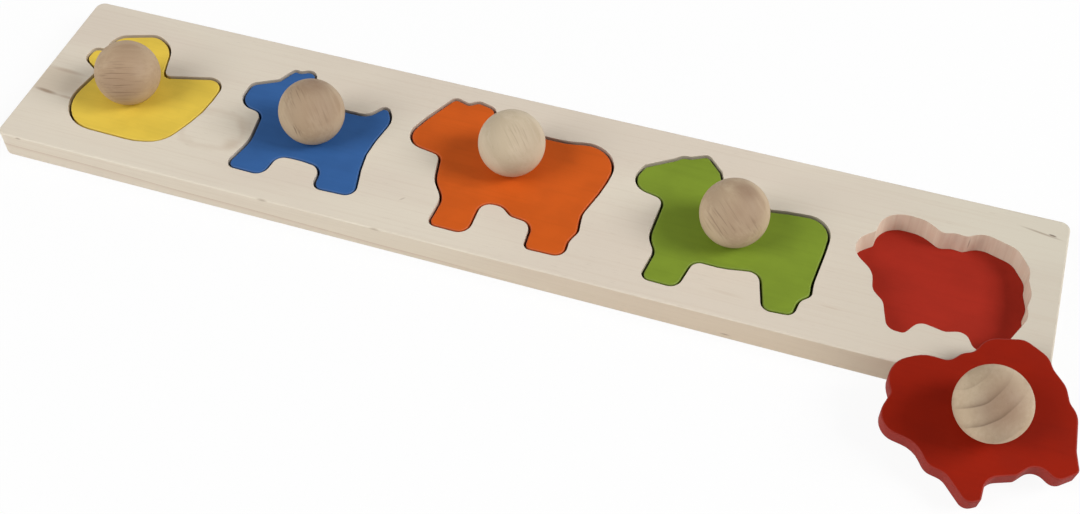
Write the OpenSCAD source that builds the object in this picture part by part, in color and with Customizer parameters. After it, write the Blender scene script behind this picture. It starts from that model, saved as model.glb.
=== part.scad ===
// Lift-out animal puzzle: a long wooden board with five openings, and in each of them a painted
// animal that is lifted by a ball knob. The sheep is out of its place and leans on the board's front edge.
// Millimetres. The origin is the middle of the underside, +X runs to the right, +Y to the back, +Z up.

/* [Board] */
// From the middle of the last place to the board's end
end_reach = 57.5; // [52:0.5:75]
// Board's width, front to back
board_width = 112; // [104:1:140]
// Thickness of the upper board, which is sawn through
frame_thick = 12.5; // [8:0.5:18]
// Thickness of the panel glued under it
base_thick = 3.5; // [3:0.5:8]
// Radius of the board's corners in plan
corner_radius = 5; // [3:0.5:12]
// Round-over of the board's outer edges
board_ease = 1; // [0.5:0.1:2]

/* [Places] */
// From the middle of one place to the next
pitch = 110; // [104:0.5:125]
// Width of the gap between an animal and its opening
kerf = 1.3; // [0.8:0.1:2]
// Thickness of the coloured sheet on an opening's floor
floor_thick = 0.3; // [0.2:0.1:1]
// Gap between that sheet and the opening's wall
floor_gap = 0.1; // [0.05:0.05:0.3]

/* [Animals] */
// Thickness of an animal's plate
plate_thick = 11.7; // [8:0.1:17]
// Round-over of a plate's edges
plate_ease = 0.7; // [0.4:0.1:1]

/* [Knobs] */
// Diameter of the ball
knob_diameter = 35; // [28:0.5:40]
// Diameter of the flat that the ball stands on
flat_diameter = 14; // [12:0.5:18]
// Diameter of the dowel
dowel_diameter = 8; // [6:0.5:10]
// How far the dowel reaches into the ball
dowel_depth = 16; // [10:0.5:18]
// How far the dowel's lower end stays inside the plate
dowel_rise = 0.5; // [0.3:0.1:1.5]
// Chamfer on the dowel's ends
dowel_chamfer = 1; // [0.5:0.1:1.5]
// Glue gap between the dowel and its bores
fit_gap = 0.05; // [0.05:0.05:0.2]
// Glue room between the dowel's upper end and the end of the ball's bore
glue_room = 1; // [0.5:0.5:3]

/* [Leaning sheep] */
// How far to the right of its own place the sheep lies
lean_shift = 28; // [15:1:45]
// How far the sheep is turned, counter-clockwise from above
lean_turn = 30.5; // [10:0.5:50]
// Up the slope, from the sheep's foot to where it meets the board's edge
lean_reach = 60; // [45:0.5:66]
// Gap at the sheep's foot and at the board's edge
lean_gap = 0.3; // [0.2:0.1:0.5]

/* [Hidden] */

// The cut line of each animal, clockwise from the front of its face, about the middle of its place.
// A corner is [x, y, radius]: straight lines meet there and are rounded to that radius.
duck_cut = [
    [-40.9, 10.7, 5.5], [-39.9, 19.8, 3.5], [-33, 20.5, 2], [-33.1, 32.3, 9], [-10.9, 39.9, 9.5],
    [1.7, 34.6, 18], [8.3, 10.5, 4.5], [43.9, 20.3, 8], [42.8, -8, 58], [32.1, -34.2, 16.5],
    [16.8, -38.3, 36], [-35.8, -37.3, 21.5], [-28.8, 3.3, 4]
];
dog_cut = [
    [-52.2, 4.6, 10], [-51.8, 20.8, 5], [-38.2, 28.2, 3], [-33.3, 38.2, 2.4], [-29.5, 37.4, 2],
    [-22.4, 41.5, 4.5], [-11.4, 17.3, 6], [19.4, 17.3, 9], [26.6, 28.4, 3.2], [33.5, 18.2, 13],
    [28.6, -9.7, 53], [35.7, -38.9, 5.4], [12, -39.8, 5.3], [10.9, -25.2, 6.8], [-3.4, -23.6, 34],
    [-14.8, -24.6, 6.5], [-16.6, -39.7, 6.3], [-38.8, -39.3, 4.5], [-33.7, -18.9, 20.5],
    [-36.4, 2, 6.5]
];
bear_cut = [
    [-67, 6.4, 10], [-59.5, 26, 40], [-50, 45.1, 3.5], [-41.5, 42.5, 2.7], [-36.6, 46.1, 4],
    [-26.2, 43.7, 5.5], [-23.1, 32, 6], [18.2, 31.7, 45], [49.7, 38.7, 16.5], [46.3, 6, 60],
    [41, -14.3, 13.5], [42.8, -25.8, 5.2], [40.1, -33.4, 7], [40.9, -43.7, 5.5], [20, -44.2, 3.6],
    [18.8, -27.6, 6.4], [7, -26.2, 4.7], [0.7, -21.1, 8.5], [-10.5, -21.8, 6.5], [-10.3, -44.5, 6.4],
    [-31.7, -44.3, 4], [-30.8, -25.4, 12.5], [-39, -15, 19], [-42.5, 2.3, 5.2]
];
pony_cut = [
    [-52.5, 13.1, 9.6], [-47.4, 28.3, 3.7], [-33.7, 37.5, 3], [-30.3, 40.7, 5.2], [-26, 41.1, 3.8],
    [-17.6, 45.4, 3.1], [-8.5, 36, 3.6], [-0.8, 17, 7], [18, 17.3, 20], [30, 19.3, 25],
    [54.3, 21.4, 12.3], [53.7, 0, 80], [52, -21.8, 13.8], [52.7, -29.8, 3.8], [47.9, -34.3, 7.5],
    [46.8, -44, 4.2], [32.1, -45.1, 5.2], [26, -22.7, 6.7], [7.9, -26.1, 23], [-7.1, -25.8, 5.8],
    [-10.7, -44.9, 5.9], [-29.4, -44.4, 4.2], [-27.1, -26.1, 6.8], [-32.2, -17.7, 15],
    [-31.6, 8.7, 5.5]
];
sheep_cut = [
    [-47.4, 8.8, 10.3], [-33.9, 20.7, 2.7], [-32.7, 35.8, 12.3], [-12.6, 35.4, 17], [-2.8, 29, 5.5],
    [3.9, 31.1, 8], [9.1, 30.3, 5], [17, 35.3, 10.5], [33.6, 30.1, 9], [41, 19, 10], [40.8, 12.6, 8],
    [43.4, 3.5, 12], [42, -4.4, 5.8], [43.6, -10.5, 11], [36.6, -26.4, 3.8], [34.3, -36.1, 3.2],
    [22.6, -37.6, 5.6], [17.3, -27.3, 6.2], [7.4, -30.7, 4.2], [-5.4, -28.2, 6.7], [-11.1, -37.5, 2.3],
    [-18.7, -37.4, 5.6], [-23, -21.8, 7.4], [-29.4, -16.3, 8], [-30.8, -5.2, 13]
];

// Where each knob stands on its animal
duck_grip = [-0.4, -6.3];
dog_grip = [-2.4, -2.8];
bear_grip = [-4, 8.1];
pony_grip = [6.8, -3];
sheep_grip = [4, -0.6];

// Colours
bare_wood = [0.86, 0.80, 0.70];
beech = [0.84, 0.66, 0.50];
yellow = [0.88, 0.72, 0.22];
blue = [0.15, 0.33, 0.60];
orange = [0.80, 0.33, 0.09];
green = [0.46, 0.57, 0.14];
red = [0.62, 0.11, 0.06];

// Fineness of arcs, in degrees a step, of round-overs, in facets, and of turned pieces, in sides
arc_step = 12;
crown_facets = 2;
foot_facets = 1;
turned_sides = 48;

// How far an opening or a bore is cut past the face that it breaks
pass = 1;

// Places along the board, and the board's own outline
places = [-2 * pitch, -pitch, 0, pitch, 2 * pitch];
half_length = 2 * pitch + end_reach;
half_width = board_width / 2;
board_cut = [
    [-half_length, -half_width, corner_radius], [-half_length, half_width, corner_radius],
    [half_length, half_width, corner_radius], [half_length, -half_width, corner_radius]
];

// Heights
board_top = base_thick + frame_thick;
seat = base_thick + floor_thick;
knob_radius = knob_diameter / 2;
knob_rise = sqrt(pow(knob_radius, 2) - pow(flat_diameter / 2, 2));
bore_radius = dowel_diameter / 2 + fit_gap;

// The sheep's foot stands on the table and its underside rests on the round edge of the board
foot_ring = grown(rounded(sheep_cut), -kerf / 2 - plate_ease);
foot_drop = min([for (p = foot_ring) p.x * sin(lean_turn) + p.y * cos(lean_turn)]);
edge_stand = board_ease + lean_gap;
edge_lift = board_top - board_ease - lean_gap;
lean_tilt = asin(edge_lift / norm([lean_reach, edge_stand])) + atan2(edge_stand, lean_reach);
foot_y = board_ease - half_width - lean_reach * cos(lean_tilt) - edge_stand * sin(lean_tilt);

// Plane geometry
function unit(v) = v / norm(v);
function flat(v) = [v.x, v.y];
function left_of(v) = [-v.y, v.x];
function turned(v, a) = v * cos(a) + left_of(v) * sin(a);
function turn_of(a, b) = atan2(a.x * b.y - a.y * b.x, a * b);
function bend(a, b, c) = (b.x - a.x) * (c.y - a.y) - (b.y - a.y) * (c.x - a.x);

// A list of corners as a smooth outline: each point comes with the direction that faces out there,
// so the same outline can be grown for an opening or shrunk for an animal or for its eased edge.
function rounded(cut) = [
    for (i = [0 : len(cut) - 1])
        let (
            last = cut[(i + len(cut) - 1) % len(cut)],
            next = cut[(i + 1) % len(cut)],
            radius = cut[i][2],
            way_in = unit(flat(cut[i]) - flat(last)),
            way_out = unit(flat(next) - flat(cut[i])),
            turn = turn_of(way_in, way_out),
            bulge = -sign(turn) * radius,
            facing = left_of(way_in),
            start = flat(cut[i]) - way_in * radius * tan(abs(turn) / 2),
            centre = start - facing * bulge,
            steps = ceil(abs(turn) / arc_step)
        )
        for (j = [0 : steps])
            let (out = turned(facing, turn * j / steps))
            [centre + out * bulge, out]
];
function grown(outline, by) = [for (p = outline) p[0] + p[1] * by];
function stepped(outline, by) = [for (p = outline) [p[0] + p[1] * by, p[1]]];

// A flat outline cut into triangles, one ear after another
function is_ear(points, ring, i) =
    let (
        n = len(ring),
        a = points[ring[(i + n - 1) % n]],
        b = points[ring[i]],
        c = points[ring[(i + 1) % n]]
    )
    bend(a, b, c) < 0 && len([
        for (j = [2 : n - 2])
            let (p = points[ring[(i + j) % n]])
            if (bend(a, b, p) <= 0 && bend(b, c, p) <= 0 && bend(c, a, p) <= 0) j
    ]) == 0;
function ears(points, ring, i = 0, found = []) =
    let (n = len(ring))
    n == 3 ? concat(found, [ring])
    : is_ear(points, ring, i) ? ears(
        points,
        [for (j = [0 : n - 1]) if (j != i) ring[j]],
        i % (n - 1),
        concat(found, [[ring[(i + n - 1) % n], ring[i], ring[(i + 1) % n]]])
    )
    : ears(points, ring, (i + 1) % n, found);

// A slab on an outline, with its edges rounded over at the foot and at the crown
module slab(outline, height, foot, crown) {
    foot_rings = foot == 0 ? [[0, 0]] : [
        for (a = [0 : 90 / foot_facets : 90]) [foot * (sin(a) - 1), foot * (1 - cos(a))]
    ];
    crown_rings = crown == 0 ? [[0, height]] : [
        for (a = [0 : 90 / crown_facets : 90]) [crown * (cos(a) - 1), height - crown * (1 - sin(a))]
    ];
    rings = concat(foot_rings, crown_rings);
    n = len(outline);
    top = (len(rings) - 1) * n;
    points = [for (r = rings) for (p = grown(outline, r[0])) [p.x, p.y, r[1]]];
    cap = ears(grown(outline, -max(foot, crown)), [for (i = [0 : n - 1]) i]);
    walls = [
        for (k = [0 : len(rings) - 2])
            for (i = [0 : n - 1])
                let (a = k * n + i, b = k * n + (i + 1) % n)
                for (f = [[a, b, b + n], [a, b + n, a + n]]) f
    ];
    lower = [for (t = cap) [t[2], t[1], t[0]]];
    upper = [for (t = cap) [t[0] + top, t[1] + top, t[2] + top]];
    polyhedron(points = points, faces = concat(lower, walls, upper));
}

// The opening for one animal, cut through the upper board
module opening(cut) {
    translate([0, 0, base_thick - pass])
        linear_extrude(frame_thick + 2 * pass)
            polygon(grown(rounded(cut), kerf / 2));
}

// The coloured sheet on the floor of one opening
module floor_sheet(cut) {
    translate([0, 0, base_thick])
        linear_extrude(floor_thick)
            polygon(grown(rounded(cut), kerf / 2 - floor_gap));
}

// One animal's plate, from its underside up, bored right through for the dowel
module plate(cut, grip) {
    difference() {
        slab(stepped(rounded(cut), -kerf / 2), plate_thick, plate_ease, plate_ease);
        translate([grip.x, grip.y, -pass])
            cylinder(h = plate_thick + 2 * pass, r = bore_radius, $fn = turned_sides);
    }
}

// One dowel, from just inside the underside to the middle of the ball
module dowel(grip) {
    radius = dowel_diameter / 2;
    length = plate_thick + dowel_depth - dowel_rise;
    tip = radius - dowel_chamfer;
    translate([grip.x, grip.y, dowel_rise])
        rotate_extrude($fn = turned_sides)
            polygon([
                [0, 0], [tip, 0], [radius, dowel_chamfer],
                [radius, length - dowel_chamfer], [tip, length], [0, length]
            ]);
}

// One ball knob, flat where it stands on the plate, with a blind bore
module knob(grip) {
    translate([grip.x, grip.y, plate_thick])
        difference() {
            translate([0, 0, knob_rise])
                sphere(r = knob_radius, $fn = turned_sides);
            translate([0, 0, -knob_radius])
                cylinder(h = knob_radius, r = knob_radius, $fn = turned_sides);
            translate([0, 0, -pass])
                cylinder(h = dowel_depth + glue_room + pass, r = bore_radius, $fn = turned_sides);
        }
}

// An animal in its place, and the sheep where it leans
module seated(place) {
    translate([places[place], 0, seat])
        children();
}
module leaning() {
    translate([places[4] + lean_shift, foot_y, lean_gap])
        rotate([lean_tilt, 0, 0])
            translate([0, -foot_drop, 0])
                rotate([0, 0, lean_turn])
                    children();
}

// The board
module frame_board() {
    color(bare_wood)
        difference() {
            translate([0, 0, base_thick])
                slab(rounded(board_cut), frame_thick, 0, board_ease);
            translate([places[0], 0, 0]) opening(duck_cut);
            translate([places[1], 0, 0]) opening(dog_cut);
            translate([places[2], 0, 0]) opening(bear_cut);
            translate([places[3], 0, 0]) opening(pony_cut);
            translate([places[4], 0, 0]) opening(sheep_cut);
        }
}
module base_panel() {
    color(bare_wood) slab(rounded(board_cut), base_thick, board_ease, 0);
}
module duck_floor() {
    color(yellow) translate([places[0], 0, 0]) floor_sheet(duck_cut);
}
module dog_floor() {
    color(blue) translate([places[1], 0, 0]) floor_sheet(dog_cut);
}
module bear_floor() {
    color(orange) translate([places[2], 0, 0]) floor_sheet(bear_cut);
}
module pony_floor() {
    color(green) translate([places[3], 0, 0]) floor_sheet(pony_cut);
}
module sheep_floor() {
    color(red) translate([places[4], 0, 0]) floor_sheet(sheep_cut);
}

// The animals
module duck_plate() {
    color(yellow) seated(0) plate(duck_cut, duck_grip);
}
module duck_dowel() {
    color(beech) seated(0) dowel(duck_grip);
}
module duck_knob() {
    color(beech) seated(0) knob(duck_grip);
}
module dog_plate() {
    color(blue) seated(1) plate(dog_cut, dog_grip);
}
module dog_dowel() {
    color(beech) seated(1) dowel(dog_grip);
}
module dog_knob() {
    color(beech) seated(1) knob(dog_grip);
}
module bear_plate() {
    color(orange) seated(2) plate(bear_cut, bear_grip);
}
module bear_dowel() {
    color(beech) seated(2) dowel(bear_grip);
}
module bear_knob() {
    color(beech) seated(2) knob(bear_grip);
}
module pony_plate() {
    color(green) seated(3) plate(pony_cut, pony_grip);
}
module pony_dowel() {
    color(beech) seated(3) dowel(pony_grip);
}
module pony_knob() {
    color(beech) seated(3) knob(pony_grip);
}
module sheep_plate() {
    color(red) leaning() plate(sheep_cut, sheep_grip);
}
module sheep_dowel() {
    color(beech) leaning() dowel(sheep_grip);
}
module sheep_knob() {
    color(beech) leaning() knob(sheep_grip);
}

frame_board();
base_panel();
duck_floor();
dog_floor();
bear_floor();
pony_floor();
sheep_floor();
duck_plate();
duck_dowel();
duck_knob();
dog_plate();
dog_dowel();
dog_knob();
bear_plate();
bear_dowel();
bear_knob();
pony_plate();
pony_dowel();
pony_knob();
sheep_plate();
sheep_dowel();
sheep_knob();
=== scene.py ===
# %% [markdown]
# # A lift-out animal puzzle
# A toddler's puzzle is a long sanded board with five animal-shaped openings, five painted animals and a
# turned ball on each to lift it by. The CAD part holds the true sizes and says what moves. This lesson
# makes each piece again with Blender's own operators, the way a joiner would, and then lays on wood and
# paint.

import math

import bmesh
import bpy
from mathutils import Matrix, Vector


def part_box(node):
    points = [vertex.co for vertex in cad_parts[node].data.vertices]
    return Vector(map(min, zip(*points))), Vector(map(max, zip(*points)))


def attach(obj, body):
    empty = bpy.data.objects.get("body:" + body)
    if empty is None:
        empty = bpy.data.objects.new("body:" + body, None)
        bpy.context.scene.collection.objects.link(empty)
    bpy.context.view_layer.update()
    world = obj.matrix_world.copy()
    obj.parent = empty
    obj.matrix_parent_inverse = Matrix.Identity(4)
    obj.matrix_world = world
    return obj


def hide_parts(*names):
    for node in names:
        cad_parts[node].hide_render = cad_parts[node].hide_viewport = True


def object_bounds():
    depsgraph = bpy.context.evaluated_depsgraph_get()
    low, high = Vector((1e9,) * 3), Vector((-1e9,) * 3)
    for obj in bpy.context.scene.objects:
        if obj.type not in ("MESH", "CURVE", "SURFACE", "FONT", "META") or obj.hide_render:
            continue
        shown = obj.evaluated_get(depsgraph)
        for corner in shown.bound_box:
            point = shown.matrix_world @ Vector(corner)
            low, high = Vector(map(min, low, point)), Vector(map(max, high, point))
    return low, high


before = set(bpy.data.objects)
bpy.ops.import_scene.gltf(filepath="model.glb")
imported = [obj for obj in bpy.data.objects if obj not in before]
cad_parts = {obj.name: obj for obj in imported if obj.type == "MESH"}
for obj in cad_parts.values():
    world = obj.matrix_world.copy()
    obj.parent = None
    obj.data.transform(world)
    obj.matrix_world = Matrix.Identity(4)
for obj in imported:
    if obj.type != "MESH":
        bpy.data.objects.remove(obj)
cad_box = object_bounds()
ANIMALS = ("duck", "dog", "bear", "pony", "sheep")
MM = 0.001
UP = Vector((0, 0, 1))
span = (cad_box[1] - cad_box[0]) / MM
print(f"{len(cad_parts)} CAD nodes, {span.x:.1f} x {span.y:.1f} x {span.z:.1f} mm over all")

# %% [markdown]
# ## Camera
# The photograph was taken from above the right front corner with a lens a little longer than normal.
# The camera's place, turn and lens were fitted to the board's edges and the five balls.

# %% Camera
scene = bpy.context.scene
camera_data = bpy.data.cameras.new("camera")
camera_data.sensor_width = 36
camera_data.lens = 47.89
camera = bpy.data.objects.new("camera", camera_data)
camera.location = (0.18329, -0.47283, 0.56935)
camera.rotation_euler = [math.radians(angle) for angle in (39.2459, 0.8798, 18.7384)]
scene.collection.objects.link(camera)
scene.camera = camera
print(f"camera {camera.location.length:.3f} m from the board's middle, lens {camera_data.lens:.2f} mm")

# %% [markdown]
# ## Studio
# Every ball throws two soft shadows, one to the right and back and one to the left. So two large lamps
# light the table, one from the left front and one from the right, both about 40 degrees up. They stand well
# away, so that both ends of the board get nearly the same light. A pale room fills the shadows, more from
# its walls than from its ceiling, so the level paint reflects little. Together they light a white sheet on
# the table to just white, and a colour looks as it is written.

# %% Lamps
scene.view_settings.view_transform = "Standard"


def lamp(name, place, watts, size):
    """A soft square lamp that faces the board's middle."""
    data = bpy.data.lights.new(name, "AREA")
    data.size = size
    data.energy = watts
    light = bpy.data.objects.new(name, data)
    light.location = place
    light.rotation_euler = (-Vector(place)).to_track_quat("-Z", "Y").to_euler()
    scene.collection.objects.link(light)
    print(f"{name}: {watts} W, {Vector(place).length:.2f} m away")


lamp("lamp_left_front", (-1.62, -1.40, 1.88), 42.0, 1.6)
lamp("lamp_right", (2.19, 0.20, 1.75), 53.8, 1.15)

# %% Room
HORIZON, CEILING = 1.0, 0.15
scene.world = bpy.data.worlds.new("room")
scene.world.use_nodes = True
room = scene.world.node_tree
direction = room.nodes.new("ShaderNodeTexCoord")
rise = room.nodes.new("ShaderNodeSeparateXYZ")
fade = room.nodes.new("ShaderNodeMapRange")
for socket, value in (("From Min", 0.05), ("From Max", 0.6), ("To Min", HORIZON), ("To Max", CEILING)):
    fade.inputs[socket].default_value = value
background = room.nodes["Background"]
background.inputs["Color"].default_value = (1, 1, 1, 1)
room.links.new(direction.outputs["Generated"], rise.inputs[0])
room.links.new(rise.outputs["Z"], fade.inputs["Value"])
room.links.new(fade.outputs["Result"], background.inputs["Strength"])
print(f"room light: {HORIZON} at the horizon, {CEILING} overhead")

# %% [markdown]
# ## A short way to lay on a finish
# Every finish here is a Principled surface whose colour, roughness and relief come from small nodes. The
# helper adds a node, sets its options and joins its sockets in one line, so a recipe reads top to bottom.
# All coordinates are the piece's own, counted in millimetres.

# %% Chart colours


def srgb(r, g, b):
    """A colour as a paint chart gives it, 0 to 255, in the linear values that nodes use."""
    linear = [c / 255 / 12.92 if c <= 10 else ((c / 255 + 0.055) / 1.055) ** 2.4 for c in (r, g, b)]
    return (*linear, 1)


print("a chart's mid grey, 188, is", round(srgb(188, 188, 188)[0], 3), "in linear light")

# %% Finish helper


class Finish:
    """A material, with short ways to add nodes to it."""

    def __init__(self, name):
        self.material = bpy.data.materials.new(name)
        self.material.use_nodes = True
        self.tree = self.material.node_tree
        self.surface = self.tree.nodes["Principled BSDF"]

    def join(self, socket, value):
        """Sets a socket, or links it if the value comes from another node."""
        if isinstance(value, bpy.types.NodeSocket):
            self.tree.links.new(value, socket)
        else:
            socket.default_value = value

    def add(self, kind, inputs, **options):
        """Adds a node and gives its outputs."""
        made = self.tree.nodes.new("ShaderNode" + kind)
        for option, value in options.items():
            setattr(made, option, value)
        for socket, value in inputs.items():
            self.join(made.inputs[socket], value)
        return made.outputs

    def place(self, centre=(0, 0, 0), turn=(0, 0, 0), unit=(1, 1, 1)):
        """The piece's own coordinates, from a centre, turned, and counted in so many millimetres."""
        here = self.add("TexCoord", {})["Object"]
        return self.add("Mapping", {"Vector": here, "Location": [c * MM for c in centre], "Rotation": turn,
                                    "Scale": [u * MM for u in unit]}, vector_type="TEXTURE")[0]

    def noise(self, where, stretch, detail):
        """Cloudy values round one half, so many to a millimetre each way."""
        drawn = self.add("Mapping", {"Vector": where, "Scale": stretch}, vector_type="POINT")[0]
        return self.add("TexNoise", {"Vector": drawn, "Scale": 1, "Detail": detail})[0]

    def calc(self, operation, *values):
        """One sum, product or other step of arithmetic."""
        return self.add("Math", dict(enumerate(values)), operation=operation)[0]

    def length(self, where):
        """How far a place lies from its centre."""
        return self.add("VectorMath", {0: where}, operation="LENGTH")["Value"]

    def level(self, upright):
        """1 on surfaces that face up or down, and 0 on walls."""
        normal = self.add("TexCoord", {})["Normal"]
        facing = self.add("VectorMath", {0: normal, 1: upright}, operation="DOT_PRODUCT")["Value"]
        return self.calc("ABSOLUTE", facing)

    def ramp(self, value, low, high, start=0.0, end=1.0):
        """Eases a value between low and high into start to end."""
        return self.add("MapRange", {"Value": value, "From Min": low, "From Max": high, "To Min": start,
                                     "To Max": end}, interpolation_type="SMOOTHSTEP")[0]

    def tint(self, share, under, over):
        """Lays one colour over another by a share."""
        mix = self.tree.nodes.new("ShaderNodeMix")
        mix.data_type = "RGBA"
        for socket, value in ((0, share), (6, under), (7, over)):
            self.join(mix.inputs[socket], value)
        return mix.outputs[2]

    def spot(self, centre, half, turn=0.0, edge=0.5):
        """1 inside a soft-edged oval that reaches half its size each way from its centre, and 0 outside."""
        near = self.place(centre, (0, 0, math.radians(turn)), half)
        return self.ramp(self.length(near), 1 - edge, 1, 1, 0)

    def dress(self, colour, roughness, gloss, height, depth):
        """Colour, roughness, mirror share and a relief so many millimetres deep."""
        relief = self.add("Bump", {"Height": height, "Distance": depth * MM, "Strength": 1})[0]
        for socket, value in (("Base Color", colour), ("Roughness", roughness),
                              ("Specular IOR Level", gloss), ("Normal", relief)):
            self.join(self.surface.inputs[socket], value)
        print(f"{self.material.name}: {len(self.tree.nodes)} nodes")


print("a finish can", ", ".join(way for way in vars(Finish) if not way.startswith("_")))

# %% [markdown]
# ## The board
# The upper board carries the five openings, and a thin panel glued underneath closes them. Both were cut
# from flat stock with a thin saw. So a level plane cuts the CAD piece's outline out of it, and filling that
# outline and raising it to the stock's thickness gives clean flat sides. The outside edge was rounded over
# by a millimetre, and the rims of the openings were only touched with paper, so each gets its own bevel.

# %% Copy the upper board
WELD = 0.001 * MM


def cad_copy(node):
    """A CAD node's mesh in a bmesh of its own, with its loose triangles joined."""
    bm = bmesh.new()
    bm.from_mesh(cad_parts[node].data)
    bmesh.ops.remove_doubles(bm, verts=bm.verts, dist=WELD)
    return bm


def heights(bm):
    """The lowest and the highest point."""
    levels = [v.co.z for v in bm.verts]
    return min(levels), max(levels)


bm = cad_copy("frame_board")
low, high = heights(bm)
print(f"upper board: {len(bm.faces)} CAD facets, {(high - low) / MM:.1f} mm thick")

# %% Saw it out
NEARLY_STRAIGHT = math.radians(0.4)


def is_flat(face):
    """True for a face that lies level."""
    return abs(face.normal.z) > 0.999


def sawn(bm):
    """Makes the mesh again as a slab with its own outline, flat and sharp, and gives its two levels."""
    low, high = heights(bm)
    middle = UP * (low + high) / 2
    bmesh.ops.bisect_plane(bm, geom=[*bm.verts, *bm.edges, *bm.faces], plane_co=middle, plane_no=UP,
                           clear_inner=True, clear_outer=True)
    bmesh.ops.dissolve_limit(bm, angle_limit=NEARLY_STRAIGHT, verts=bm.verts, edges=bm.edges)
    bmesh.ops.translate(bm, verts=bm.verts, vec=UP * low - middle)
    bmesh.ops.triangle_fill(bm, edges=bm.edges, normal=UP, use_beauty=True, use_dissolve=True)
    raised = bmesh.ops.extrude_face_region(bm, geom=bm.faces, use_keep_orig=True)["geom"]
    top = [part for part in raised if isinstance(part, bmesh.types.BMVert)]
    bmesh.ops.translate(bm, verts=top, vec=UP * (high - low))
    bmesh.ops.recalc_face_normals(bm, faces=bm.faces)
    return low, high


_, high = sawn(bm)
print(f"sawn out: {len(bm.faces)} faces")

# %% Ease its edges
OUTSIDE_EASE, OPENING_EASE = 1.0 * MM, 0.2 * MM
EDGE_ZONE, LEVEL_PLAY = 4 * MM, 0.01 * MM
board_low, board_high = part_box("frame_board")


def is_outside(point):
    """True near the board's own edge, and false at the openings."""
    margins = [*(point.xy - board_low.xy), *(board_high.xy - point.xy)]
    return min(margins) < EDGE_ZONE


def is_opening(point):
    """True at the openings."""
    return not is_outside(point)


def rims(bm, level, pick):
    """The edges between a flat side at that level and the walls, where pick says so."""
    return [e for e in bm.edges
            if all(abs(v.co.z - level) < LEVEL_PLAY for v in e.verts)
            and len(e.link_faces) == 2 and is_flat(e.link_faces[0]) != is_flat(e.link_faces[1])
            and pick((e.verts[0].co + e.verts[1].co) / 2)]


def ease(bm, edges, width, segments):
    """Rounds edges over, as sandpaper does."""
    bmesh.ops.bevel(bm, geom=edges, offset=width, offset_type="OFFSET", segments=segments, profile=0.5,
                    affect="EDGES", material=-1, loop_slide=False, clamp_overlap=False)


ease(bm, rims(bm, high, is_outside), OUTSIDE_EASE, segments=4)
ease(bm, rims(bm, high, is_opening), OPENING_EASE, segments=2)
print(f"eased: {len(bm.faces)} faces")

# %% Show it
SHARP_CORNER = math.radians(40)


def crease(bm, keeps_flat=is_flat):
    """Marks sharp corners and the rims of faces that stay flat, so that smooth shading stops there."""
    for edge in bm.edges:
        flats = {keeps_flat(face) for face in edge.link_faces}
        edge.smooth = len(flats) == 1 and edge.calc_face_angle(0) < SHARP_CORNER


def new_piece(name, bm, body, stands_for):
    """Turns the bmesh into a shown piece that rides on a body and stands for a CAD node."""
    mesh = bpy.data.meshes.new(name)
    bm.to_mesh(mesh)
    bm.free()
    mesh.shade_smooth()
    piece = bpy.data.objects.new(name, mesh)
    scene.collection.objects.link(piece)
    piece.modifiers.new("flat walls", "WEIGHTED_NORMAL").keep_sharp = True
    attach(piece, body)
    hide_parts(stands_for)
    span = piece.dimensions / MM
    print(f"{name}: {len(mesh.polygons)} faces, {span.x:.1f} x {span.y:.1f} x {span.z:.1f} mm")
    return piece


crease(bm)
board_upper = new_piece("board_upper", bm, "board", "frame_board")

# %% Base panel
bm = cad_copy("base_panel")
low, _ = sawn(bm)
ease(bm, rims(bm, low, is_outside), OUTSIDE_EASE, segments=4)
crease(bm)
board_base = new_piece("board_base", bm, "board", "base_panel")

# %% [markdown]
# ## The animals
# Each animal is a slab too, sawn along the same line as its opening, with a hole for the knob's dowel. Its
# outline was eased on both sides and the hole was left sharp. The loose sheep leans on the board, so its
# copy is first laid level, made like the others and then leaned back.

# %% Animals
PLATE_EASE = 0.7 * MM
HOLE_ZONE = 6 * MM


def lying_turn(bm):
    """The turn that lays a slab level: its largest facet is part of a broad side."""
    broad = max(bm.faces, key=lambda face: face.calc_area()).normal
    return (broad if broad.z > 0 else -broad).rotation_difference(UP).to_matrix().to_4x4()


def middle_of(bm):
    """The middle, across and along, of what the mesh spans."""
    xs, ys = [v.co.x for v in bm.verts], [v.co.y for v in bm.verts]
    return Vector(((min(xs) + max(xs)) / 2, (min(ys) + max(ys)) / 2, 0))


animals, turns, grips = {}, {}, {}
for name in ANIMALS:
    bm = cad_copy(name + "_plate")
    turns[name] = lying_turn(bm)
    bm.transform(turns[name])
    knob = cad_copy(name + "_knob")
    knob.transform(turns[name])
    grips[name] = middle_of(knob)
    knob.free()

    def is_outline(point):
        return (point.xy - grips[name].xy).length > HOLE_ZONE

    low, high = sawn(bm)
    ease(bm, rims(bm, high, is_outline), PLATE_EASE, segments=4)
    ease(bm, rims(bm, low, is_outline), PLATE_EASE, segments=3)
    crease(bm)
    bm.transform(turns[name].inverted())
    animals[name] = new_piece(name + "_piece", bm, name, name + "_plate")

# %% [markdown]
# ## The balls
# A ball knob is turned on a lathe: a ball with a small flat where it meets the animal, and a blind hole for
# the dowel. A point spun round the ball's centre draws the profile, the flat and the hole are drawn on, and
# a full spin about the upright axis does the turning.

# %% Turn a ball
PROFILE_STEPS, TURN_STEPS = 44, 72


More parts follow.
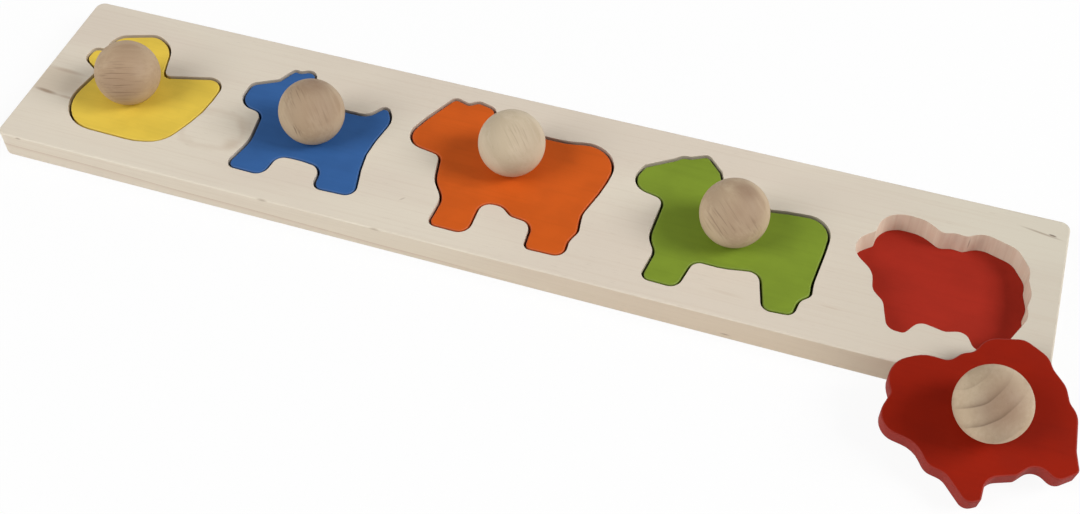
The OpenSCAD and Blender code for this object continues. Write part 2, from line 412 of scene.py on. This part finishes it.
def turned_ball(radius, flat_level, hole, hole_end):
    """A ball round the origin, with a flat underneath and a blind hole up from it."""
    bm = bmesh.new()
    pole = bm.verts.new((0, 0, radius))
    sweep = math.acos(flat_level / radius)
    last = bmesh.ops.spin(bm, geom=[pole], cent=(0, 0, 0), axis=(0, 1, 0), angle=sweep,
                          steps=PROFILE_STEPS)["geom_last"][0]
    for out, up in ((hole, flat_level), (hole, hole_end), (0, hole_end)):
        last = bmesh.ops.extrude_vert_indiv(bm, verts=[last])["verts"][0]
        last.co = (out, 0, up)
    bmesh.ops.spin(bm, geom=[*bm.verts, *bm.edges], cent=(0, 0, 0), axis=UP, angle=2 * math.pi,
                   steps=TURN_STEPS, use_merge=True)
    bmesh.ops.remove_doubles(bm, verts=bm.verts, dist=WELD)
    bmesh.ops.recalc_face_normals(bm, faces=bm.faces)
    return bm


print(f"a ball's profile has {PROFILE_STEPS} steps, and its full turn has {TURN_STEPS}")

# %% Five balls
HOLE_PLAY, HOLE_SPARE = 0.05 * MM, 1 * MM
balls, centres = {}, {}
for name in ANIMALS:
    knob = cad_copy(name + "_knob")
    knob.transform(turns[name])
    low, high = heights(knob)
    xs = [v.co.x for v in knob.verts]
    radius = (max(xs) - min(xs)) / 2
    knob.free()
    dowel = cad_copy(name + "_dowel")
    dowel.transform(turns[name])
    hole = max((v.co.xy - grips[name].xy).length for v in dowel.verts) + HOLE_PLAY
    hole_end = heights(dowel)[1] + HOLE_SPARE
    dowel.free()
    level = UP * (high - radius)
    bm = turned_ball(radius, low - level.z, hole, hole_end - level.z)
    crease(bm, keeps_flat=lambda face: False)
    bm.transform(turns[name].inverted() @ Matrix.Translation(grips[name] + level))
    centres[name] = turns[name].inverted() @ (grips[name] + level)
    balls[name] = new_piece(name + "_ball", bm, name, name + "_knob")

# %% [markdown]
# ## Wood for the board
# The board is a pale, close-grained hardwood, sanded and left bare. Painted shade darkens it towards the
# sheep's end. The front edge is browner, partly its own tone and partly painted shade that deepens towards
# the right. Its growth rings lie in nearly level sheets, far apart, that dip along the board, so the front
# edge shows one long sloping line and the top hardly any. A slow noise bends the sheets, and finer noises
# drawn out along the board give fibres and pores.

# %% Board tone
wood = Finish("board_wood")
at = wood.place()
x, y, z = wood.add("SeparateXYZ", {0: at})
CREAM, ROSE, SHEEP_END_SHADE = srgb(222, 212, 195), srgb(217, 205, 189), srgb(193, 188, 171)
tone = wood.noise(at, (0.006, 0.022, 0.022), 2)
colour = wood.tint(wood.ramp(tone, 0.38, 0.62), CREAM, ROSE)
# Painted shade: the board darkens towards the sheep's end.
colour = wood.tint(wood.ramp(x, 100, 290, 0, 0.45), colour, SHEEP_END_SHADE)

edge_x, edge_y, top_z = board_high / MM
upright = wood.ramp(wood.level(UP), 0.2, 0.6, 1, 0)
front = wood.calc("MULTIPLY", wood.ramp(y, 0.1 - edge_y, 0.8 - edge_y, 1, 0), upright)
# The front edge is browner: partly its own edge tone, partly painted shade that deepens towards the right.
front_tone_and_shade = wood.calc("MULTIPLY", front, wood.ramp(x, -150, 150, 0.12, 0.5))
colour = wood.tint(front_tone_and_shade, colour, srgb(205, 182, 152))
print(f"tone: {len(wood.tree.nodes)} nodes")

# %% Growth sheets, fibres and pores
TAN, BROWN, LATE_WOOD = srgb(188, 165, 142), srgb(132, 106, 84), srgb(178, 144, 120)
SHEET_GAP, SHEET_START = 14, 11.4
DIP_ALONG, DIP_ACROSS, BEND = 0.0215, 0.03, 2.6
wander = wood.noise(at, (0.012, 0.02, 0.02), 1)
across = wood.calc("MULTIPLY_ADD", y, DIP_ACROSS, wood.calc("ADD", z, SHEET_START))
flat_sheet = wood.calc("MULTIPLY_ADD", x, DIP_ALONG, across)
bent_sheet = wood.calc("MULTIPLY_ADD", wander, BEND, flat_sheet)
growth = wood.calc("FRACT", wood.calc("DIVIDE", bent_sheet, SHEET_GAP))
late = wood.calc("MULTIPLY", wood.calc("POWER", growth, 16), upright)
late = wood.calc("MULTIPLY", late, wood.ramp(x, -30, 40, 0.55, 0.06))
colour = wood.tint(late, colour, LATE_WOOD)

fibre = wood.noise(at, (0.016, 0.7, 0.7), 3)
pores = wood.ramp(wood.noise(at, (0.14, 2.0, 2.0), 1), 0.64, 0.76)
fades = wood.ramp(wood.noise(at, (0.010, 0.05, 0.05), 1), 0.4, 0.6, 0.03, 0.13)
colour = wood.tint(wood.ramp(fibre, 0.45, 0.75, 0, 0.12), colour, TAN)
colour = wood.tint(wood.calc("MULTIPLY", pores, fades), colour, BROWN)
print(f"growth sheets {SHEET_GAP} mm apart")

# %% [markdown]
# ### Marks and sawn walls
# A few marks belong to this one board: a tan band at the duck's end, a round figure where a sheet just
# touches the surface beside the dog, a pitch line by the far corner, and some flecks and streaks. Each is a
# soft oval, laid on as a tint. The tops of the walls round the four seated animals are darkened as painted
# shade, the shade of their narrow gaps. The sheep's place shows fresh wood with upright saw marks.

# %% Marks of this board
figure = wood.length(wood.place((-166, -18, 16), (0, 0, 0), (17, 14.5, 20)))
figure = wood.calc("MULTIPLY_ADD", wood.noise(at, (0.07, 0.07, 0.07), 2), 0.6, figure)
ring = wood.ramp(wood.calc("ABSOLUTE", wood.calc("SUBTRACT", figure, 1.26)), 0.0, 0.24, 0.18, 0)
colour = wood.tint(ring, colour, TAN)

# Each mark has a centre, half its size, a turn, a soft edge, a share and a colour.
MARKS = (
    # the tan band at the duck's end, and its darker borders
    ((-272, -10.5, 16), (31, 11.5, 40), -2, 0.45, 0.32, srgb(196, 172, 144)),
    ((-265, -1.8, 16), (15, 2.2, 16), -2, 0.9, 0.60, TAN),
    ((-268, -19.4, 16), (10, 1.8, 16), -6, 0.8, 0.80, srgb(158, 134, 112)),
    ((-255, -20.4, 16), (9, 1.5, 5), -3, 0.9, 0.60, TAN),
    # two darker tan ovals beside the dog
    ((-151, -10, 16), (9, 6, 6), -45, 0.95, 0.25, TAN),
    ((-152, -25, 16), (7, 7, 6), -20, 0.95, 0.32, TAN),
    # the pitch line by the far corner
    ((264, 44.8, 16), (14, 0.9, 3), -9.5, 0.8, 0.50, BROWN),
    ((269.4, 44.9, 16), (2.6, 0.7, 2), -9.5, 0.6, 0.80, srgb(104, 86, 74)),
    # flecks along the front edge and below the bear
    ((-264, -56, 15.2), (2.5, 1.5, 0.8), 0, 0.9, 0.50, BROWN),
    ((-119, -55.8, 15.6), (4, 1.2, 0.9), 0, 0.9, 0.45, BROWN),
    ((-56, -55.8, 15.4), (4, 1.2, 0.9), 0, 0.9, 0.45, BROWN),
    ((-50, -32.7, 16), (2.5, 0.7, 1.5), 45, 0.9, 0.35, BROWN),
    ((127.5, -56, 3.5), (3.5, 1.5, 0.8), 0, 0.9, 0.60, BROWN),
    ((182, -56, 1), (2, 1.5, 0.6), 0, 0.9, 0.60, BROWN),
    # faint streaks in front of the pony and the sheep's place
    ((123, -41, 16), (14, 1.4, 2), -2, 0.9, 0.22, TAN),
    ((173, -34, 16), (8, 0.9, 2), -2, 0.9, 0.30, TAN),
)
for centre, half, turn, edge, share, mark in MARKS:
    colour = wood.tint(wood.calc("MULTIPLY", wood.spot(centre, half, turn, edge), share), colour, mark)
print(f"a round figure and {len(MARKS)} marks")

# %% Sawn walls
# Painted shade: the wall tops round the four seated animals darken, as in their narrow gaps.
gap_shade = wood.calc("MULTIPLY", upright, wood.ramp(z, top_z - 4.5, top_z - 2, 0, 0.25))
for way, edge in ((x, edge_x - 3.5), (y, edge_y - 2)):
    inside = wood.ramp(wood.calc("ABSOLUTE", way), edge - 2, edge, 1, 0)
    gap_shade = wood.calc("MULTIPLY", gap_shade, inside)
colour = wood.tint(gap_shade, colour, srgb(122, 98, 78))

sheep_place = wood.spot((222, 0, 10), (52, 48, 60), 0, 0.05)
saw_marks = wood.ramp(wood.noise(at, (0.5, 0.5, 0.03), 2), 0.40, 0.62, 0, 0.4)
fresh = wood.tint(saw_marks, srgb(229, 217, 196), srgb(215, 195, 172))
colour = wood.tint(wood.calc("MULTIPLY", upright, sheep_place), colour, fresh)
wall_nick = wood.spot((231, 31.5, 10), (0.5, 4, 5), 0, 0.7)
colour = wood.tint(wood.calc("MULTIPLY", wall_nick, 0.5), colour, BROWN)

roughness = wood.ramp(fibre, 0.3, 0.7, 0.62, 0.74)
wood.dress(colour, roughness, 0.2, wood.calc("SUBTRACT", fibre, pores), 0.015)
for piece in (board_upper, board_base):
    piece.data.materials.append(wood.material)

# %% [markdown]
# ## Beech for the balls
# Every ball was turned from a different bit of a beech rod, so each shows its own grain. The grain's
# direction is told as the camera sees it: across the picture, up it, or towards the viewer. The sheep's
# ball shows end grain, so its growth rings are arcs round a heart above its left shoulder. The others show
# side grain: the sanded wood is smooth and even, with rows of short dashes here and there and a darker
# patch or two. Further darker patches are painted shade, most of all over each ball's middle, which faces
# the camera.

# %% Line of sight


def sight(centre):
    """The axes across the picture, up it and towards the camera, at a place in the room."""
    towards = (camera.location - centre).normalized()
    across = (camera.rotation_euler.to_matrix() @ Vector((0, 1, 0))).cross(towards).normalized()
    return Matrix((across, towards.cross(across), towards)).transposed()


for name in ANIMALS:
    print(f"{name}_ball is {(camera.location - centres[name]).length:.3f} m from the camera")

# %% Beech
PATCH_AND_SHADE, DASH, SPECK = srgb(134, 106, 86), srgb(104, 80, 62), srgb(112, 88, 70)


def beech(name, centre, grain, pale, dark, patches_and_shade, dashes, rings=None):
    """Turned beech between two tones, with darker patches that are partly painted shade, fields of dashes
    along the grain, and rings.
    """
    look = Finish(name)
    seen = sight(centre)
    along = (seen @ Vector(grain)).normalized()
    side = along.cross(seen.col[2] if abs(grain[2]) < 0.9 else seen.col[1]).normalized()
    turn = Matrix((along, side, along.cross(side))).transposed().to_euler()
    at = look.place(centre / MM, turn)

    def field(step, reach, share):
        """A share that fades out from a point on the ball."""
        spot = look.spot(centre / MM + seen @ Vector(step), (reach,) * 3, 0, 0.8)
        return look.calc("MULTIPLY", spot, share)

    cloud = look.noise(at, (0.04, 0.08, 0.08), 2)
    fibre = look.noise(at, (0.05, 0.6, 0.6), 3)
    fleck = look.ramp(look.noise(at, (0.09, 1.3, 0.12), 1), 0.50, 0.70)
    speck = look.ramp(look.noise(at, (0.25, 1.4, 1.4), 1), 0.66, 0.76, 0, 0.12)
    blend = look.calc("MULTIPLY_ADD", look.calc("SUBTRACT", fibre, 0.5), 0.5, cloud)
    colour = look.tint(look.ramp(blend, 0.32, 0.68), pale, dark)
    # Darker patches: some are the wood's own, the others painted shade on the ball.
    for darkening in patches_and_shade:
        colour = look.tint(field(*darkening), colour, PATCH_AND_SHADE)
    for dash in dashes:
        colour = look.tint(look.calc("MULTIPLY", fleck, field(*dash)), colour, DASH)
    colour = look.tint(speck, colour, SPECK)
    if rings:
        heart, gap, start, share, clear = rings
        from_heart = look.place(centre / MM + seen @ Vector(heart), turn, (1e6, 1, 1))
        wobble = look.noise(at, (0.02, 0.07, 0.07), 2)
        growth = look.calc("ADD", look.length(from_heart), start)
        growth = look.calc("DIVIDE", look.calc("MULTIPLY_ADD", wobble, 2, growth), gap)
        growth = look.calc("FRACT", growth)
        late = look.calc("MULTIPLY", look.calc("POWER", growth, 6), look.ramp(growth, 0.92, 1, 1, 0))
        shown = look.calc("MULTIPLY", look.calc("ADD", field(*clear), 0.15), share)
        colour = look.tint(look.calc("MULTIPLY", late, shown), colour, DASH)
    roughness = look.ramp(fibre, 0.3, 0.7, 0.56, 0.68)
    look.dress(colour, roughness, 0.2, look.calc("SUBTRACT", fibre, fleck), 0.012)
    return look.material


# Each ball has its grain's direction, a pale and a dark tone, then patches and dashes, each with a place, a
# reach and a share. The patches are partly painted shade. The sheep's has rings: heart, gap, start, share
# and where they show.
BEECH = {
    "duck": ((1, 0.04, 0), srgb(184, 159, 130), srgb(174, 148, 119),
             [((-4, -9, 14), 16, 0.38), ((0, 6, 16), 15, 0.28), ((0, 13, 10), 12, 0.10)],
             [((-5, -5, 15), 17, 0.42)]),
    "dog": ((0.40, -0.90, 0.1), srgb(181, 160, 134), srgb(168, 145, 119),
            [((1, 14, 9), 12, 0.55), ((6, 1, 16), 15, 0.36)],
            [((-9, 8, 12), 9, 0.45), ((-8, -10, 12), 5, 0.60), ((4, -2, 16), 10, 0.25)]),
    "bear": ((0.45, -0.88, 0.1), srgb(201, 185, 160), srgb(192, 175, 149),
             [((3, -12, 12), 12, 0.18), ((9, 1, 15), 15, 0.20)], [((3, 3, 16), 11, 0.22)]),
    "pony": ((0.55, -0.83, 0.0), srgb(190, 169, 141), srgb(177, 154, 127),
             [((6, 11, 12), 9, 0.60), ((0, 15, 8), 10, 0.20), ((7, 0, 16), 16, 0.50)],
             [((-6, -4, 15), 13, 0.42), ((9, -6, 13), 8, 0.30)]),
    "sheep": ((0, 0, 1), srgb(199, 179, 152), srgb(187, 166, 139),
              [((3, -2, 17), 16, 0.72), ((13, 5, 10), 15, 0.40), ((10, -10, 10), 12, 0.30),
               ((0, -13, 11), 10, 0.20), ((3, 10, 14), 11, 0.32), ((0, 15, 8), 8, 0.20)], [],
              ((-13.8, 20.4, 0), 8.54, 1.25, 0.90, ((-2, -5, 15), 19, 0.95))),
}
for name in ANIMALS:
    material = beech(name + "_beech", centres[name], *BEECH[name])
    balls[name].data.materials.append(material)
    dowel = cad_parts[name + "_dowel"]
    dowel.data.materials.clear()
    dowel.data.materials.append(material)

# %% [markdown]
# ## Paint
# The animals were sprayed with a satin toy paint, thin enough that the wood's fibres stand out a little. It
# dried a touch paler and duller on the sawn walls. The eased rims are paler, partly rubbed paint and partly
# a painted highlight. The floors of the openings were brushed with the same colours, lighter and flat.

# %% Paint
SATIN, FLAT = 0.42, 0.6
PAINT = {"duck": srgb(231, 199, 78), "dog": srgb(55, 98, 157), "bear": srgb(208, 92, 29),
         "pony": srgb(126, 148, 48), "sheep": srgb(147, 30, 11)}


def mixed(colour, factor, white, most=1.0):
    """A colour made deeper or lighter by a factor, with some white, and at most so bright."""
    return (*[min(c * factor + white, most) for c in colour[:3]], 1)


def paint(name, colour, upright, roughness):
    """Paint on wood whose broad sides face the upright direction."""
    look = Finish(name)
    at = look.place()
    mottle = look.noise(at, (0.045, 0.06, 0.06), 3)
    fibre = look.noise(at, (0.02, 0.5, 0.5), 3)
    level = look.level(upright)
    wall = look.ramp(level, 0.25, 0.85, 1, 0)
    # Paler eased rims: partly rubbed paint, partly painted highlight.
    rim_wear_and_highlight = look.calc("MULTIPLY", look.ramp(level, 0.25, 0.5), look.ramp(level, 0.92, 0.99, 0.3, 0))
    deep, dull, worn_and_highlight = mixed(colour, 0.72, 0), mixed(colour, 0.8, 0.10), mixed(colour, 1, 0.07)
    shade = look.tint(look.ramp(mottle, 0.35, 0.7, 0, 0.35), colour, deep)
    shade = look.tint(look.ramp(fibre, 0.45, 0.8, 0, 0.22), shade, deep)
    shade = look.tint(look.calc("MULTIPLY", wall, 0.08), shade, dull)
    shade = look.tint(rim_wear_and_highlight, shade, worn_and_highlight)
    rough = look.ramp(look.calc("ADD", mottle, wall), 0.3, 1.4, roughness - 0.04, roughness + 0.2)
    look.dress(shade, rough, 0.1, look.calc("MULTIPLY_ADD", mottle, 2, fibre), 0.03)
    return look.material


for name in ANIMALS:
    upright = turns[name].inverted() @ UP
    animals[name].data.materials.append(paint(name + "_paint", PAINT[name], upright, SATIN))
    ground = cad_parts[name + "_floor"]
    lighter = mixed(PAINT[name], 1.28, 0.008, most=0.85)
    ground.data.materials.clear()
    ground.data.materials.append(paint(name + "_floor_paint", lighter, UP, FLAT))

# %% [markdown]
# ## Table
# A pale table top. To the camera it is mixed with plain white, which keeps the background white, and the
# puzzle's soft shadow still falls on it.

# %% Table
HALF_TABLE, WHITE_SHARE = 10, 0.92
bm = bmesh.new()
bmesh.ops.create_grid(bm, x_segments=1, y_segments=1, size=HALF_TABLE)
mesh = bpy.data.meshes.new("table")
bm.to_mesh(mesh)
bm.free()
table = bpy.data.objects.new("table", mesh)
scene.collection.objects.link(table)

top = Finish("table_top")
for socket, value in (("Base Color", (0.9, 0.9, 0.9, 1)), ("Roughness", 0.9), ("Specular IOR Level", 0.0)):
    top.join(top.surface.inputs[socket], value)
ray = top.add("LightPath", {})
looked_at = top.calc("MAXIMUM", ray["Is Camera Ray"], ray["Is Glossy Ray"])
looked_at = top.calc("MAXIMUM", looked_at, ray["Is Transmission Ray"])
white = top.add("Emission", {"Color": (1, 1, 1, 1), "Strength": 1})[0]
share = top.calc("MULTIPLY", looked_at, WHITE_SHARE)
both = top.add("MixShader", {0: share, 1: top.surface.outputs[0], 2: white})[0]
top.join(top.tree.nodes["Material Output"].inputs["Surface"], both)
mesh.materials.append(top.material)
print(f"table {2 * HALF_TABLE} m square")

# %% [markdown]
# ## The CAD box
# The CAD part's box, printed in millimetres.

# %% CAD box
print("CAD box  ", [[round(v / MM, 2) for v in c] for c in cad_box])
